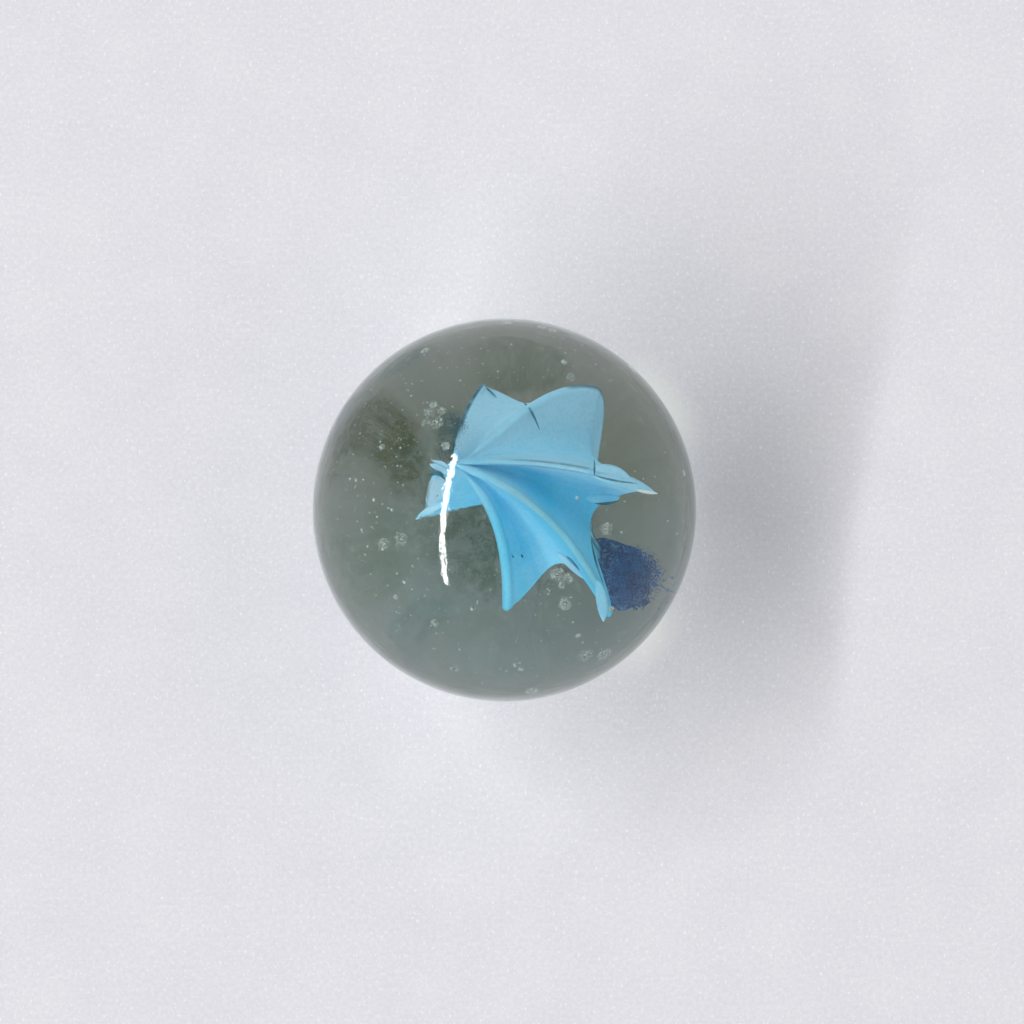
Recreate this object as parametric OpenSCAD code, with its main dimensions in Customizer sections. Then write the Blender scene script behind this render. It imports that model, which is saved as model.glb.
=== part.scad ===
// Glass marble of the cat's-eye kind: a clear glass ball with one moulded bundle of six opaque
// glass vanes sealed inside it. Millimetres and degrees. The ball's centre is the origin, +Z is up.
// The bundle runs from a near end, high on one side, to a far end, low on the other. Its section
// is a star that grows from a point, spreads into six vanes of their own lengths, and closes again
// into a small round knot.

/* [Ball] */
// Diameter of the glass ball
ball_d = 16; // [14:0.5:25]

/* [Ends of the bundle] */
// Depth of the near end under the surface of the ball
near_depth = 2.8; // [2.2:0.1:3.4]
// Tilt of the near end away from straight up
near_tilt = 28; // [18:1:38]
// Direction of the near end round Z, anticlockwise from +X
near_angle = 138; // [118:1:158]
// Depth of the far end under the surface of the ball
far_depth = 2.6; // [2:0.1:3.2]
// Tilt of the far end away from straight down
far_tilt = 36.5; // [26.5:0.5:42.5]
// Direction of the far end round Z, anticlockwise from +X
far_angle = -33; // [-53:1:-13]
// Sideways bow of the bundle's axis at its middle
bow = 0.7; // [0:0.1:1.2]

/* [Reach of each vane from the axis] */
// Beak, the thin pointed vane on the +X side
beak_reach = 3.85; // [2.85:0.05:4.25]
// Lobe, the broad round vane on the +X +Y side
lobe_reach = 3.45; // [2.5:0.05:3.7]
// Horn, the pointed vane on the +Y side
horn_reach = 3.15; // [2.2:0.05:3.4]
// Fin, the short vane on the -X side
fin_reach = 2.65; // [2.2:0.05:3.4]
// Foot, the blunt vane on the -Y side
foot_reach = 3.25; // [2.4:0.05:3.6]
// Tail, the long pointed vane on the +X -Y side
tail_reach = 4.75; // [3.8:0.05:5.4]

/* [Direction of each vane round the axis] */
// Beak
beak_angle = 6; // [-4:1:12]
// Lobe
lobe_angle = 66; // [54:1:72]
// Horn
horn_angle = 119.5; // [110:0.5:130]
// Fin
fin_angle = 205; // [195:1:215]
// Foot
foot_angle = 260.5; // [250:0.5:266]
// Tail
tail_angle = 310; // [302:1:314]

/* [Thickness of each vane at its edge] */
// Beak
beak_edge = 0.2; // [0.1:0.05:0.5]
// Lobe
lobe_edge = 0.3; // [0.2:0.05:0.8]
// Horn
horn_edge = 0.2; // [0.1:0.05:0.5]
// Fin
fin_edge = 0.2; // [0.1:0.05:0.5]
// Foot
foot_edge = 0.35; // [0.1:0.05:0.6]
// Tail
tail_edge = 0.25; // [0.1:0.05:0.5]

/* [Core and knot] */
// Radius of the bundle at each end
pole_r = 0.12; // [0.08:0.01:0.2]
// Radius of the round core between the vanes and the knot
core_r = 0.2; // [0.15:0.05:0.4]
// Radius of the round knot near the far end
knot_r = 0.55; // [0.4:0.05:0.75]
// Length of the knot along the bundle
knot_length = 1.5; // [1:0.1:1.6]
// Distance from the middle of the knot to the far end
knot_back = 0.8; // [0.8:0.05:1.3]

/* [Hidden] */
$fn = 128;

// Steps along the bundle, points on each vane's edge, and points on each web between two vanes.
steps = 40;
tip_points = 4;
web_points = 7;
// Half the angle that a vane's edge keeps where the vane has run out into the core.
tip_angle = 8;
// Most that half an edge's thickness may be, as a share of the vane's reach.
edge_limit = 0.15;
// How far a web's pull may lean past its vane, as a share of the gap between the two vanes.
web_limit = 0.6;
// Reach over the core, in cores, at which the section is a full star and no longer round.
star_fade = 1.5;

// One value for each vane, anticlockwise: beak, lobe, horn, fin, foot, tail.
reach = [beak_reach, lobe_reach, horn_reach, fin_reach, foot_reach, tail_reach];
turn = [beak_angle, lobe_angle, horn_angle, fin_angle, foot_angle, tail_angle];
edge = [beak_edge, lobe_edge, horn_edge, fin_edge, foot_edge, tail_edge];
// Where each vane reaches furthest: 0 is the near end and 1 is the far end.
peak = [0.58, 0.57, 0.47, 0.4, 0.6, 0.64];
// Power by which it rises to that place, and by which it falls away after it.
rise = [0.7, 2.2, 1, 0.6, 0.95, 0.6];
fall = [5, 5, 6, 6, 7, 3.5];
// Form of the outline at that place: 1 is a point and 0 is round.
cusp = [0.9, 0.08, 0.72, 1, 0.56, 0.9];
// Turn round the axis over the whole length, before that place and after it.
twist_up = [0, -45, -10, 10, -80, -45];
twist_down = [60, 10, 0, 0, -10, 0];
// How the webs leave a vane, clockwise and anticlockwise of it: their lean off the vane's own
// direction, and their pull towards the axis as a share of the reach.
lean_right = [0, 15, 45, 10, 0, 0];
pull_right = [0.65, 0.55, 0.6, 0.5, 0.85, 0.8];
lean_left = [20, 40, 5, 0, 40, 10];
pull_left = [0.7, 0.5, 0.5, 0.8, 0.44, 0.66];

ball_r = ball_d / 2;
vanes = len(reach);
ring_points = vanes * (tip_points + web_points);

function unit(v) = v / norm(v);
function blend(a, b, k) = a + (b - a) * k;
function ease(x) = let (k = min(max(x, 0), 1)) k * k * (3 - 2 * k);
function polar(a) = [cos(a), sin(a)];
function square_to(u) = [-u.y, u.x];

// The point at a depth under the ball's surface, in the upper half (side 1) or the lower (-1).
function in_ball(depth, tilt, heading, side) =
    (ball_r - depth) * [sin(tilt) * cos(heading), sin(tilt) * sin(heading), side * cos(tilt)];

near_end = in_ball(near_depth, near_tilt, near_angle, 1);
far_end = in_ball(far_depth, far_tilt, far_angle, -1);
bundle_length = norm(far_end - near_end);
along = unit(far_end - near_end);
across = unit(cross(along, [0, 1, 0]));
upward = cross(across, along);

// The bundle's axis is a shallow arc. Here and below, s runs from 0 to 1 along it.
function axis_at(s) = blend(near_end, far_end, s) + bow * 4 * s * (1 - s) * upward;

// The knot is an ellipsoid round the axis, and the core swells from pole_r to core_r and back.
function knot_swell(s) =
    let (k = (1 - s - knot_back / bundle_length) * 2 * bundle_length / knot_length)
    knot_r * sqrt(max(0, 1 - k * k));
function core_at(s) = max(blend(pole_r, core_r, sin(180 * s)), knot_swell(s));

// A vane's share of its full reach: a power curve up to its peak, and another one down.
function outline(share, i, power) =
    blend(pow(sin(90 * share), power), pow(share, power), cusp[i]);
function reach_at(i, s) =
    let (share = s < peak[i] ? s / peak[i] : (1 - s) / (1 - peak[i]),
         power = s < peak[i] ? rise[i] : fall[i])
    max(core_at(s), reach[i] * outline(share, i, power));
function turn_at(i, s) =
    turn[i] + (s - peak[i]) * (s < peak[i] ? twist_up[i] : twist_down[i]);
function gap_after(i, s) =
    let (gap = turn_at((i + 1) % vanes, s) - turn_at(i, s))
    gap < 0 ? gap + 360 : gap;

// 1 where the vane stands well out of the core, and 0 where it has run out into it.
function starness(i, s) = ease((reach_at(i, s) / core_at(s) - 1) / star_fade);
function half_edge(i, s) = min(edge[i] / 2, edge_limit * reach_at(i, s));

// A point on a vane's rounded edge: q is -1 at its clockwise face and 1 at the other.
function edge_point(i, s, q) =
    let (a = turn_at(i, s),
         r = reach_at(i, s),
         h = half_edge(i, s),
         sharp = (r - h) * polar(a) + h * polar(a + 90 * q))
    blend(r * polar(a + tip_angle * q), sharp, starness(i, s));

// The control point by which a web leaves a vane, on its clockwise (side -1) or other face.
function web_handle(i, s, side, gap) =
    let (u = polar(turn_at(i, s)),
         r = reach_at(i, s),
         h = half_edge(i, s),
         k = starness(i, s),
         round_pull = tan((gap - 2 * tip_angle) / 4) * 4 / 3,
         lean = blend(90, side < 0 ? lean_right[i] : lean_left[i], k),
         pull = r * blend(round_pull, side < 0 ? pull_right[i] : pull_left[i], k),
         slope = tan(min(web_limit * gap, 80)),
         room = ((r - h) * slope - h) / (sin(lean) + cos(lean) * slope))
    edge_point(i, s, side)
    - max(0, min(pull, room)) * (cos(lean) * u - sin(lean) * side * square_to(u));

// A web is a cubic curve from one vane's edge to the next one's.
function web(i, s) =
    let (j = (i + 1) % vanes,
         gap = gap_after(i, s),
         a = edge_point(i, s, 1),
         b = web_handle(i, s, 1, gap),
         c = web_handle(j, s, -1, gap),
         d = edge_point(j, s, -1))
    [for (k = [1 : web_points])
        let (t = k / (web_points + 1), u = 1 - t)
        u * u * u * a + 3 * t * u * u * b + 3 * t * t * u * c + t * t * t * d];

function vane_edge(i, s) =
    [for (k = [0 : tip_points - 1]) edge_point(i, s, 2 * k / (tip_points - 1) - 1)];
function star(s) = [for (i = [0 : vanes - 1]) each concat(vane_edge(i, s), web(i, s))];
function ring(s) = [for (p = star(s)) axis_at(s) + p.x * across + p.y * upward];

// The solid through all the stars, with a flat cap at each end.
module vane_bundle() {
    points = [for (k = [0 : steps]) each ring(k / steps)];
    walls = [for (k = [0 : steps - 1], i = [0 : ring_points - 1])
        let (a = k * ring_points + i,
             b = k * ring_points + (i + 1) % ring_points,
             c = b + ring_points,
             d = a + ring_points)
        each [[a, b, c], [a, c, d]]];
    near_cap = [for (i = [ring_points - 1 : -1 : 0]) i];
    far_cap = [for (i = [0 : ring_points - 1]) steps * ring_points + i];
    polyhedron(points, concat(walls, [near_cap, far_cap]));
}

module clear_glass() {
    color([0.72, 0.8, 0.76, 0.35])
    difference() {
        sphere(d = ball_d);
        vane_bundle();
    }
}

module blue_vanes() {
    color([0.36, 0.66, 0.84])
    vane_bundle();
}

clear_glass();
blue_vanes();
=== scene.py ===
"""A cat's-eye marble: a clear ball of grey-green glass with a bundle of six pale-blue vanes in it.

Lengths of the marble are millimetres in the working-out, and metres in the meshes. The ball's
centre is the origin and +Z is up.
"""

import bpy
import numpy as np
from mathutils import Matrix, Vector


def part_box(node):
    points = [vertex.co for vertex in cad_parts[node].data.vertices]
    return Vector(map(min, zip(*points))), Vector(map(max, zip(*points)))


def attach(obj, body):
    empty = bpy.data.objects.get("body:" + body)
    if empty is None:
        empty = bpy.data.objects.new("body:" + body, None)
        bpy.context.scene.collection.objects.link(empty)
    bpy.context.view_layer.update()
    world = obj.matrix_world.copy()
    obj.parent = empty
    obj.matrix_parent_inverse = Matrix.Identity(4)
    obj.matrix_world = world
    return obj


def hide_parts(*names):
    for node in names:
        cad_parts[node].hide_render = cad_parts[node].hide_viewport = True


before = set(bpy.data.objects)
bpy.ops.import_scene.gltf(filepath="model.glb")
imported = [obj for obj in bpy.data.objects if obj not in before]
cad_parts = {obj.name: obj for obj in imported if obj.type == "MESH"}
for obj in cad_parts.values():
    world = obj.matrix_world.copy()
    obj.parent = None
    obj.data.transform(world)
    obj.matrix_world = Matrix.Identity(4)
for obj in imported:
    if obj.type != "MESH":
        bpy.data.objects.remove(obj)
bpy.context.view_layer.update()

# ---------------------------------------------------------------- sizes

MM = 0.001
BALL_R = round(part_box("clear_glass")[1][2] / MM, 2)
GLASS_IOR = 1.5

# Ends of the bundle: depth under the ball's surface, tilt off the vertical, direction round Z.
NEAR_END = (2.8, 28, 138)
FAR_END = (2.6, 36.5, -33)
# Sideways bow of the axis at its middle.
BOW = 0.7
# Radius at each end, of the core and of the knot, the knot's length along the axis, and the
# distance from the knot's middle to the far end.
POLE_R = 0.12
CORE_R = 0.2
KNOT_R = 0.55
KNOT_LENGTH = 1.5
KNOT_BACK = 0.8

# One row for each vane, anticlockwise: reach, direction, thickness at the edge, place of the
# peak, power of the rise, power of the fall, sharpness of the peak, turn before the peak, turn
# after it, then lean and pull of the webs on its clockwise and anticlockwise side.
VANES = {
    "beak": (3.85, 6, 0.2, 0.58, 0.7, 5, 0.9, 0, 60, 0, 0.65, 20, 0.7),
    "lobe": (3.45, 66, 0.3, 0.57, 2.2, 5, 0.08, -45, 10, 15, 0.55, 40, 0.5),
    "horn": (3.15, 119.5, 0.2, 0.47, 1, 6, 0.72, -10, 0, 45, 0.6, 5, 0.5),
    "fin": (2.65, 205, 0.2, 0.4, 0.6, 6, 1, 10, 0, 10, 0.5, 0, 0.8),
    "foot": (3.25, 260.5, 0.35, 0.6, 0.95, 7, 0.56, -80, -10, 0, 0.85, 40, 0.44),
    "tail": (4.75, 310, 0.25, 0.64, 0.6, 3.5, 0.9, -45, 0, 0, 0.8, 10, 0.66),
}
(REACH, TURN, EDGE, PEAK, RISE, FALL, CUSP, TWIST_UP, TWIST_DOWN,
 LEAN_RIGHT, PULL_RIGHT, LEAN_LEFT, PULL_LEFT) = zip(*VANES.values())
VANE_COUNT = len(VANES)
# Half the angle that an edge keeps where its vane has run out into the core.
TIP_SPAN = 8
# Most that half an edge's thickness may be, as a share of the vane's reach.
EDGE_LIMIT = 0.15
# How far a web's pull may lean past its vane: as a share of the gap, and in degrees.
WEB_LIMIT = 0.6
STEEPEST_WEB = 80
# Reach over the core, in cores, at which the section is a full star and no longer round.
STAR_FADE = 1.5

# Stations along the bundle, points on each vane's edge, and points on each web.
STATIONS = 221
TIP_POINTS = 9
WEB_POINTS = 25

# The camera looks straight down. The picture is a square of 1024 units, and the ball's outline
# is a circle in it. OUTLINE_SLOPE is the tangent of the angle that its radius fills.
PICTURE = 1024
BALL_X, BALL_Y = 504.3, 510.0
BALL_OUTLINE_R = 191.8
CAMERA_HEIGHT = 150.0
SENSOR = 36.0
OUTLINE_SLOPE = np.tan(np.arcsin(BALL_R / CAMERA_HEIGHT))

# ---------------------------------------------------------------- small sums


def sin_d(angle):
    """Sine of an angle in degrees."""
    return np.sin(np.radians(angle))


def cos_d(angle):
    """Cosine of an angle in degrees."""
    return np.cos(np.radians(angle))


def blend(a, b, k):
    """The value k of the way from a to b."""
    return a + (b - a) * k


def ease(x):
    """A smooth step: 0 below 0, 1 above 1, and 3x^2 - 2x^3 between."""
    k = np.clip(x, 0, 1)
    return k * k * (3 - 2 * k)


def unit(v):
    """The vector at length one."""
    return v / np.linalg.norm(v, axis=-1, keepdims=True)


def polar(angle):
    """The unit vector of the plane at an angle in degrees."""
    return np.stack([cos_d(angle), sin_d(angle)], -1)


def in_ball(depth, tilt, heading, side):
    """The point at a depth under the surface, in the upper half (side 1) or the lower (-1)."""
    return (BALL_R - depth) * np.array(
        [sin_d(tilt) * cos_d(heading), sin_d(tilt) * sin_d(heading), side * cos_d(tilt)]
    )


def sight_line(x, y):
    """Where the line of sight through a picture point enters the ball, and its direction inside.

    The line from the camera meets the sphere at its first root, and the glass bends it by
    Snell's law.
    """
    x, y = np.broadcast_arrays(np.asarray(x, float), np.asarray(y, float))
    eye = np.array([0, 0, CAMERA_HEIGHT])
    slope = OUTLINE_SLOPE / BALL_OUTLINE_R
    ray = unit(np.stack([(x - BALL_X) * slope, (BALL_Y - y) * slope, -np.ones_like(x)], -1))
    middle = -ray @ eye
    reach = np.sqrt(np.maximum(0, middle**2 - eye @ eye + BALL_R**2))
    entry = eye + (middle - reach)[..., None] * ray
    normal = entry / BALL_R
    facing = -np.sum(ray * normal, -1, keepdims=True)
    bend = facing / GLASS_IOR - np.sqrt(1 - (1 - facing**2) / GLASS_IOR**2)
    return entry, ray / GLASS_IOR + bend * normal


def sight(x, y, depth):
    """The place in the ball that shows at a picture point, at a depth along the line of sight."""
    entry, ray = sight_line(x, y)
    return entry + np.asarray(depth, float)[..., None] * ray


def under(x, y):
    """The place on the ball's underside that shows at a picture point through the glass."""
    entry, ray = sight_line(x, y)
    return sight(x, y, -2 * np.sum(entry * ray, -1))


# ---------------------------------------------------------------- meshes


def mesh_piece(name, points, faces, material, **layers):
    """A smooth mesh object from points in millimetres and faces as lists of indices.

    Each layer is three numbers for each point, which the material reads by the layer's name.
    """
    mesh = bpy.data.meshes.new(name)
    mesh.from_pydata((np.asarray(points) * MM).tolist(), [], faces)
    mesh.validate()
    mesh.shade_smooth()
    mesh.materials.append(material)
    for layer, values in layers.items():
        values = np.asarray(values, np.float32).reshape(-1, 3)
        values = np.concatenate([values, np.ones((len(values), 1), np.float32)], 1)
        mesh.attributes.new(layer, "FLOAT_COLOR", "POINT").data.foreach_set("color", values.ravel())
    piece = bpy.data.objects.new(name, mesh)
    bpy.context.scene.collection.objects.link(piece)
    return piece


def round_skin(rows, cols):
    """A unit sphere: rings of constant latitude between two pole points, faces outwards."""
    lat = np.pi * np.arange(1, rows) / rows
    lon = 2 * np.pi * np.arange(cols) / cols
    ring = np.stack(
        [
            np.outer(np.sin(lat), np.cos(lon)),
            np.outer(np.sin(lat), np.sin(lon)),
            np.outer(np.cos(lat), np.ones(cols)),
        ],
        -1,
    ).reshape(-1, 3)
    points = np.concatenate([[[0, 0, 1.0]], ring, [[0, 0, -1.0]]])
    here = np.arange((rows - 1) * cols).reshape(rows - 1, cols) + 1
    side = np.roll(here, -1, 1)
    last = len(points) - 1
    quads = np.stack([here[:-1], here[1:], side[1:], side[:-1]], -1).reshape(-1, 4)
    top = np.stack([np.zeros(cols, int), here[0], side[0]], -1)
    foot = np.stack([np.full(cols, last), side[-1], here[-1]], -1)
    return points, quads.tolist() + top.tolist() + foot.tolist()


def many_skins(rows, cols, centres, radii):
    """Spheres of one pattern round the centres: the points of all, and their faces outwards."""
    points, faces = round_skin(rows, cols)
    all_points = centres[:, None] + points[None] * radii[:, None, None]
    starts = np.arange(len(centres)) * len(points)
    all_faces = [[start + k for k in face] for start in starts.tolist() for face in faces]
    return all_points.reshape(-1, 3), all_faces


def joined(*shells):
    """Several shells as one: their points in a row, and their faces moved on to suit."""
    points, faces, start = [], [], 0
    for shell_points, shell_faces in shells:
        points.append(shell_points)
        faces += [[start + k for k in face] for face in shell_faces]
        start += len(shell_points)
    return np.concatenate(points), faces


# ---------------------------------------------------------------- the vanes

near_end = in_ball(*NEAR_END, 1)
far_end = in_ball(*FAR_END, -1)
bundle_length = np.linalg.norm(far_end - near_end)
along = unit(far_end - near_end)
across = unit(np.cross(along, [0, 1.0, 0]))
upward = np.cross(across, along)


def axis_at(s):
    """The bundle's axis: the straight line between its ends plus a shallow parabola."""
    s = np.asarray(s)[..., None]
    return blend(near_end, far_end, s) + BOW * 4 * s * (1 - s) * upward


def core_at(s):
    """Core radius: half a sine wave from end to end, or the knot's ellipse where it is wider."""
    k = (1 - s - KNOT_BACK / bundle_length) * 2 * bundle_length / KNOT_LENGTH
    knot = KNOT_R * np.sqrt(np.maximum(0, 1 - k * k))
    return np.maximum(blend(POLE_R, CORE_R, sin_d(180 * s)), knot)


def reach_at(i, s):
    """Reach of vane i: a power curve up to its peak and another down, sharp or rounded."""
    rising = s < PEAK[i]
    share = np.clip(np.where(rising, s / PEAK[i], (1 - s) / (1 - PEAK[i])), 0, 1)
    power = np.where(rising, RISE[i], FALL[i])
    outline = blend(np.clip(sin_d(90 * share), 0, 1) ** power, share**power, CUSP[i])
    return np.maximum(core_at(s), REACH[i] * outline)


def turn_at(i, s):
    """Direction of vane i round the axis: it turns evenly on each side of the peak."""
    return TURN[i] + (s - PEAK[i]) * np.where(s < PEAK[i], TWIST_UP[i], TWIST_DOWN[i])


def starness(i, s):
    """1 where vane i stands well out of the core, and 0 where it has run out into it."""
    return ease((reach_at(i, s) / core_at(s) - 1) / STAR_FADE)


def half_edge(i, s):
    """Half of a vane's edge thickness, held to a share of its reach."""
    return np.minimum(EDGE[i] / 2, EDGE_LIMIT * reach_at(i, s))


def edge_points(i, s, q):
    """Rounded edge of vane i: a half circle at its reach, eased into an arc of the core."""
    a = turn_at(i, s)[:, None]
    r = reach_at(i, s)[:, None, None]
    h = half_edge(i, s)[:, None, None]
    q = np.atleast_1d(q)
    sharp = (r - h) * polar(a) + h * polar(a + 90 * q)
    return blend(r * polar(a + TIP_SPAN * q), sharp, starness(i, s)[:, None, None])


def web_handle(i, s, side, gap):
    """Control point of a web where it leaves vane i, leaning off the vane towards the axis."""
    a = turn_at(i, s)
    r = reach_at(i, s)
    h = half_edge(i, s)
    k = starness(i, s)
    lean_out, pull_in = (LEAN_RIGHT, PULL_RIGHT) if side < 0 else (LEAN_LEFT, PULL_LEFT)
    round_pull = np.tan(np.radians((gap - 2 * TIP_SPAN) / 4)) * 4 / 3
    lean = blend(90, lean_out[i], k)
    pull = r * blend(round_pull, pull_in[i], k)
    slope = np.tan(np.radians(np.minimum(WEB_LIMIT * gap, STEEPEST_WEB)))
    room = ((r - h) * slope - h) / (sin_d(lean) + cos_d(lean) * slope)
    length = np.maximum(0, np.minimum(pull, room))[:, None]
    inward = cos_d(lean)[:, None] * polar(a) - sin_d(lean)[:, None] * side * polar(a + 90)
    return edge_points(i, s, side)[:, 0] - length * inward


def web_points(i, s, t):
    """Web from vane i to the next: a cubic curve between their edges, at the shares t."""
    j = (i + 1) % VANE_COUNT
    gap = (turn_at(j, s) - turn_at(i, s)) % 360
    a = edge_points(i, s, 1)
    b = web_handle(i, s, 1, gap)[:, None]
    c = web_handle(j, s, -1, gap)[:, None]
    d = edge_points(j, s, -1)
    t = t[None, :, None]
    return (1 - t) ** 3 * a + 3 * t * (1 - t) ** 2 * b + 3 * t * t * (1 - t) * c + t**3 * d


def vane_surface():
    """Star outlines set square to the axis, one at each station from the near to the far end.

    Returns the stations and the grid of points: a row for each station, a column for each point
    of the star.
    """
    s = np.linspace(0, 1, STATIONS)
    q = np.linspace(-1, 1, TIP_POINTS)
    t = np.arange(1, WEB_POINTS + 1) / (WEB_POINTS + 1)
    outline = np.concatenate(
        [part for i in range(VANE_COUNT) for part in (edge_points(i, s, q), web_points(i, s, t))],
        1,
    )
    points = axis_at(s)[:, None] + outline[..., :1] * across + outline[..., 1:] * upward
    return s, points


# How pale each vane's edge is, and the middle of the web after it: partly the glass's own
# colour and partly painted light and shade. The horn and lobe on top are paler as if lit from
# above, the groove after the lobe is lightened, and the foot's lit edge is darkened.
PALE_EDGE = {"beak": 0.46, "lobe": 0.53, "horn": 0.58, "fin": 0.32, "foot": 0.18, "tail": 0.10}
PALE_WEB = {"beak": 0.36, "lobe": 0.55, "horn": 0.32, "fin": 0.26, "foot": 0.31, "tail": 0.04}

# Waves of the knot's rough skin: wave vector in radians to a millimetre, and height.
KNOT_WAVES = (
    ((5.1, 2.3, 3.7), 0.05),
    ((-3.3, 6.1, 4.9), 0.045),
    ((8.7, -5.9, 7.1), 0.03),
    ((-9.1, -11.3, 6.7), 0.02),
)
# Place along the axis, from 0 to 1, at which the knot's own skin starts, the share over which
# it comes in, and the share over which its waves die away at the far end.
KNOT_START = 0.8
KNOT_FADE = 0.08
KNOT_CLOSE = 0.03
# Painted shade along turned-under edges: the distance, seen from above, over which the dark
# line fades, and how dark that line is on each vane's crest.
DARK_LINE = 0.045
DARK_SHARE = {"beak": 0.7, "lobe": 1.0, "horn": 1.0, "fin": 0.6, "foot": 0.3, "tail": 0.2}
# Distance over which the tint on a vane's crest fades.
RIDGE_WIDTH = 0.28


def waves(points, table):
    """A sum of sine waves through space, each with its own direction, spacing and height."""
    return sum(height * np.sin(points @ np.array(wave)) for wave, height in table)


def slopes(grid):
    """Change of a grid's values along its rows and round its columns, which join up."""
    down = np.gradient(grid, axis=0)
    side = (np.roll(grid, -1, 1) - np.roll(grid, 1, 1)) / 2
    return down, side


def paleness():
    """Paleness round one star, partly painted light: each edge's own value, eased over the web into
    the next one's.

    It goes half way along a cosine from an edge to the middle of the web, and back up to the
    next edge.
    """
    edge, web = np.array(list(PALE_EDGE.values())), np.array(list(PALE_WEB.values()))
    t = np.arange(1, WEB_POINTS + 1) / (WEB_POINTS + 1)
    dip = ((1 - np.cos(2 * np.pi * t)) / 2)[None]
    sides = blend(edge[:, None], np.roll(edge, -1)[:, None], t[None])
    across_web = blend(sides, web[:, None], dip)
    on_edge = np.repeat(edge[:, None], TIP_POINTS, 1)
    return np.concatenate([on_edge, across_web], 1).ravel()


def dark_line(points):
    """Painted shade: 1 on the line where the surface turns under, fading with the distance from it.

    The distance is the one seen from above: the way along the surface, which is the normal's
    height over the rate at which that height changes, times half the normal's height. Each
    vane's crest has its own share of the darkness, and away from the crests there is none.
    """
    down, side = slopes(points)
    flat = np.cross(down, side)
    height = (flat / np.maximum(np.linalg.norm(flat, axis=-1, keepdims=True), 1e-9))[..., 2]
    height_down, height_side = slopes(height)
    step_down = np.maximum(np.linalg.norm(down, axis=-1), 1e-4)
    step_side = np.maximum(np.linalg.norm(side, axis=-1), 1e-4)
    rate = np.hypot(height_down / step_down, height_side / step_side)
    away = height**2 / np.maximum(rate, 1e-3) / 2
    near = sum(share * ridge(points, vane) for vane, share in DARK_SHARE.items())
    return np.exp(-((away / DARK_LINE) ** 2)) * np.minimum(near, 1)


def ridge(points, vane):
    """1 on the crest of one vane, fading with the distance from it."""
    crest = list(VANES).index(vane) * (TIP_POINTS + WEB_POINTS) + TIP_POINTS // 2
    away = np.linalg.norm(points - points[:, crest : crest + 1], axis=-1)
    return np.exp(-((away / RIDGE_WIDTH) ** 2))


def make_vanes(material):
    """The bundle and its points: quads between neighbouring stars, and a flat cap at each end.

    The knot's skin is raised by waves, outwards from the axis. The layer "tint" holds the
    paleness, partly painted light, the share of the knot's skin and the dark line of painted
    shade. "run" holds the place round the star, as a cosine and a sine, and along the axis.
    "crest" holds the tail's and the lobe's.
    """
    s, points = vane_surface()
    rows, cols = points.shape[:2]
    along_it = np.broadcast_to(s[:, None], (rows, cols))
    knot = ease((along_it - KNOT_START) / KNOT_FADE)
    centre = axis_at(s)[:, None]
    rough = knot * ease((1 - along_it) / KNOT_CLOSE) * np.abs(waves(points, KNOT_WAVES))
    points = points + unit(points - centre + 1e-9) * rough[..., None]
    here = np.arange(rows * cols).reshape(rows, cols)
    side = np.roll(here, -1, 1)
    quads = np.stack([here[:-1], here[1:], side[1:], side[:-1]], -1).reshape(-1, 4)
    caps = [here[0].tolist(), here[-1][::-1].tolist()]
    pale = np.broadcast_to(paleness()[None], (rows, cols))
    round_it = np.broadcast_to(2 * np.pi * np.arange(cols) / cols, (rows, cols))
    skin = points.reshape(-1, 3)
    bundle = mesh_piece(
        "vane_bundle",
        skin,
        quads.tolist() + caps,
        material,
        tint=np.stack([pale, knot, dark_line(points)], -1),
        run=np.stack([np.cos(round_it), np.sin(round_it), along_it], -1),
        crest=np.stack([ridge(points, "tail"), ridge(points, "lobe"), 0 * along_it], -1),
    )
    return bundle, skin


# Thin blades that split off the vanes, and dark slits in them: the dark ones are painted shade
# along edges and in slits and notches, besides two dark pits on the foot. Start, bend and end
# in the picture, half the width there, paleness (or DARK), and the depth, or ON_VANES.
DARK = -1.0
ON_VANES = 0.0
BLADES = {
    "fin_hook": ((449, 501), (434, 508), (415.5, 519.5), 3.2, 0.42, 6.7),
    "pole_tuft_upper": ((449, 468), (441, 463), (431, 461), 1.7, 0.6, 3.0),
    "pole_tuft_lower": ((451, 476), (441, 469), (429.5, 464.5), 3.2, 0.6, 3.0),
    "pole_notch": ((445, 480), (438, 473.5), (427, 476), 2.0, DARK, 2.9),
    "beak_shoulder": ((592, 476), (622, 481), (656, 493.5), 5.4, 0.48, 4.8),
    "beak_leaf": ((589, 468.5), (612, 470.5), (632, 481), 4.4, 0.5, 4.7),
    "beak_line": ((593, 474.5), (612, 480), (638, 483.5), 0.8, DARK, 4.5),
    "beak_notch": ((594, 459), (594.5, 468), (594, 477), 0.8, DARK, 4.5),
    "beak_tip": ((636, 490), (647, 492), (658, 493.5), 1.4, 0.9, 4.6),
    "beak_step": ((586, 498), (604, 499.5), (620, 497), 4.2, 0.20, 5.8),
    "beak_step_line": ((594, 503), (606, 503.5), (619, 500.5), 1.0, DARK, 5.6),
    "tail_sliver": ((556, 552), (569, 564), (584, 579), 2.4, 0.62, 5.4),
    "tail_slit": ((566, 556), (572, 561), (580, 571), 0.7, DARK, 5.2),
    "tail_tip": ((597, 580), (602, 601), (603.5, 622), 4.8, 0.36, 4.4),
    "valley_slit": ((523.5, 403), (531, 411), (540, 431), 0.9, DARK, ON_VANES),
    "horn_nick": ((486, 388), (491, 392), (497, 398), 0.8, DARK, ON_VANES),
    "foot_pit": ((511.5, 554.5), (513, 556.5), (514, 558), 0.5, DARK, ON_VANES),
    "foot_pit_right": ((521, 554.5), (522.2, 556), (523, 558.5), 0.6, DARK, ON_VANES),
    "tail_edge": ((591, 538), (596, 562), (605, 588), 0.9, DARK, 4.4),
}
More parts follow.
